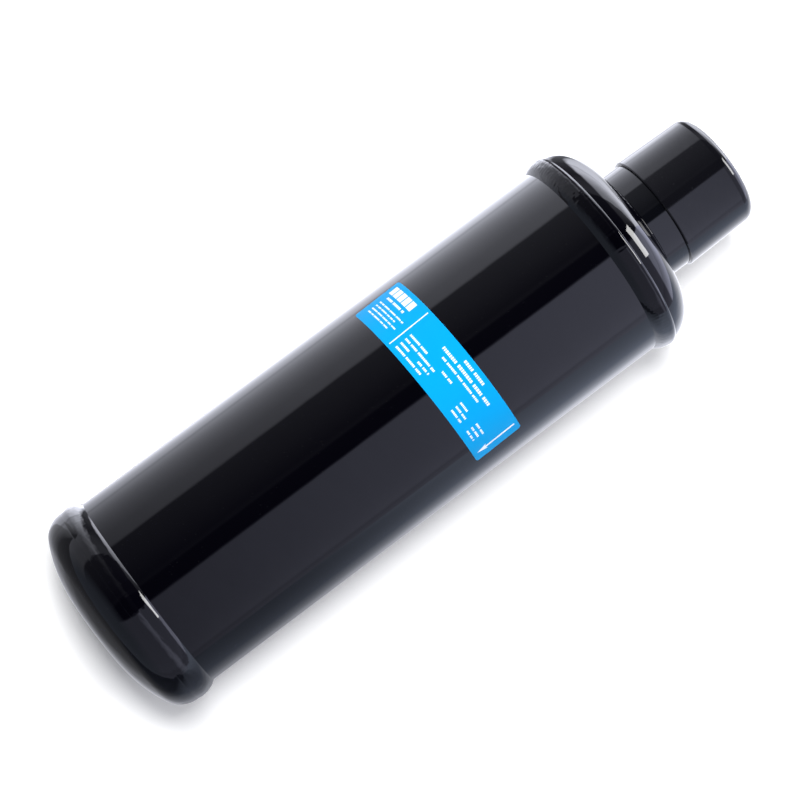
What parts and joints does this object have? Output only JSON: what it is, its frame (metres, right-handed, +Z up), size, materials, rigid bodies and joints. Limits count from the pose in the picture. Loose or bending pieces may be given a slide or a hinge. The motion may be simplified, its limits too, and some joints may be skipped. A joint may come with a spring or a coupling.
{
  "type": "filter drier",
  "caption": "Upright steel filter drier with dished welded caps, a ported head under a push-on dust cap, and a spring-pressed desiccant bed inside.",
  "frame": {"origin": "middle of the flat that the vessel stands on, at the bottom of its bottom cap", "axes": "+Z up along the vessel's axis to the port head, -Y to the front where the label is, +X from the inlet port to the outlet port"},
  "size_m": [0.0806, 0.0806, 0.2758],
  "materials": {
    "vessel_paint": "gloss",
    "head_steel": "machined, painted black on its neck",
    "cap_plastic": "satin",
    "label_film": "printed film",
    "tube_steel": "drawn",
    "strainer_brass": "satin",
    "plate_steel": "zinc plated",
    "screen_steel": "woven wire",
    "felt": "needled felt",
    "desiccant": "matte beads",
    "spring_steel": "drawn wire"
  },
  "bodies": {
    "vessel": {"shell_tube": "vessel_paint", "bottom_cap": "vessel_paint", "top_cap": "vessel_paint", "bottom_weld": "vessel_paint", "top_weld": "vessel_paint", "head_weld": "vessel_paint", "port_head": "head_steel", "label": "label_film", "pickup_tube": "tube_steel", "tube_strainer": "strainer_brass", "support_ring": "plate_steel", "lower_plate": "plate_steel", "lower_screen": "screen_steel", "lower_felt": "felt", "desiccant_bed": "desiccant", "upper_felt": "felt", "upper_screen": "screen_steel", "upper_plate": "plate_steel", "bed_spring": "spring_steel", "spring_seat": "plate_steel"},
    "dust_cap": {"dust_cap": "cap_plastic"}
  },
  "joints": [
    {"name": "dust_cap_slide", "type": "slide", "parent": "vessel", "child": "dust_cap", "axis": [0, 0, 1], "range_m": [0, 0.06]}
  ]
}
